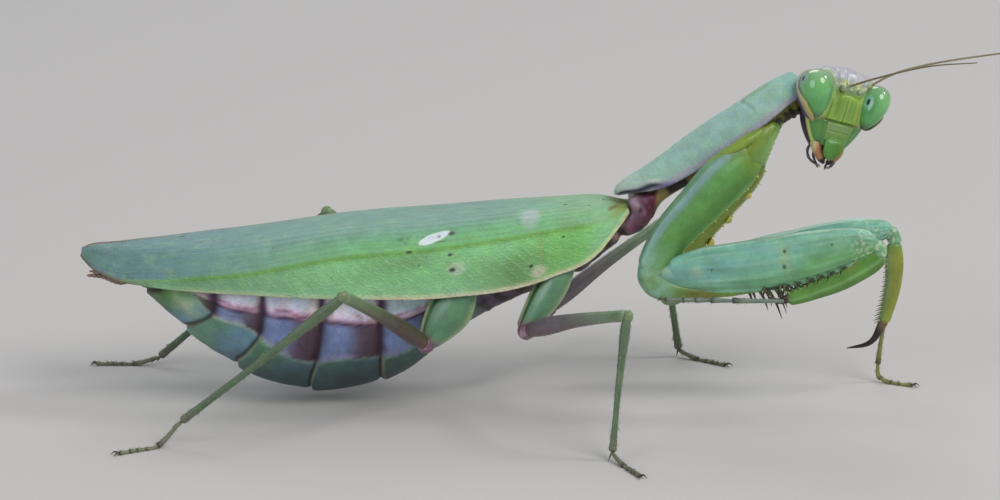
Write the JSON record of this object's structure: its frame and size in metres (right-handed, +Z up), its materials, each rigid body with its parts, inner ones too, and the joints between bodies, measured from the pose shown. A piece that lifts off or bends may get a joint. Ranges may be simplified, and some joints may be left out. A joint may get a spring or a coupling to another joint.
{
  "type": "praying mantis",
  "caption": "Life-size still model of a green praying mantis on foot, body low at the rear, neck raised, head turned, one foreleg folded and the other set down.",
  "frame": {"origin": "on the floor, under the middle of the whole animal's box", "axes": "+X towards the head and along the body, +Y to the animal's left, +Z up"},
  "size_m": [0.0944, 0.0392, 0.0366],
  "materials": {
    "wing_case": "satin green, fine netted veins, cream front margin, white mark",
    "leg_shell": "smooth satin green, pale blue along the ridges",
    "neck_shield": "satin pale blue-green with a purple lower edge",
    "face_shell": "smooth olive and leaf green, yellow cheek band",
    "eye": "polished green with fine facets",
    "soft_skin": "matt purple skin with folds",
    "belly_plate": "satin dark teal plates over purple skin",
    "feeler": "matt straw colour, ringed"
  },
  "bodies": {
    "root": {"head": "face_shell", "eye_right": "eye", "antenna_right": "feeler", "palp_right": "feeler", "eye_left": "eye", "antenna_left": "feeler", "palp_left": "feeler", "neck": "soft_skin", "pronotum": "neck_shield", "prosternum": "soft_skin", "mesothorax": "soft_skin", "metathorax": "soft_skin", "abdomen_1": "belly_plate", "abdomen_2": "belly_plate", "abdomen_3": "belly_plate", "abdomen_4": "belly_plate", "abdomen_5": "belly_plate", "cercus_right": "feeler", "tegmen_right": "wing_case", "fore_right_coxa": "leg_shell", "fore_right_femur": "leg_shell", "fore_right_tibia": "leg_shell", "fore_right_tarsus": "leg_shell", "mid_right_coxa": "leg_shell", "mid_right_femur": "leg_shell", "mid_right_tibia": "leg_shell", "mid_right_tarsus": "leg_shell", "hind_right_coxa": "leg_shell", "hind_right_femur": "leg_shell", "hind_right_tibia": "leg_shell", "hind_right_tarsus": "leg_shell", "cercus_left": "feeler", "tegmen_left": "wing_case", "fore_left_coxa": "leg_shell", "fore_left_femur": "leg_shell", "fore_left_tibia": "leg_shell", "fore_left_tarsus": "leg_shell", "mid_left_coxa": "leg_shell", "mid_left_femur": "leg_shell", "mid_left_tibia": "leg_shell", "mid_left_tarsus": "leg_shell", "hind_left_coxa": "leg_shell", "hind_left_femur": "leg_shell", "hind_left_tibia": "leg_shell", "hind_left_tarsus": "leg_shell"}
  },
  "joints": []
}
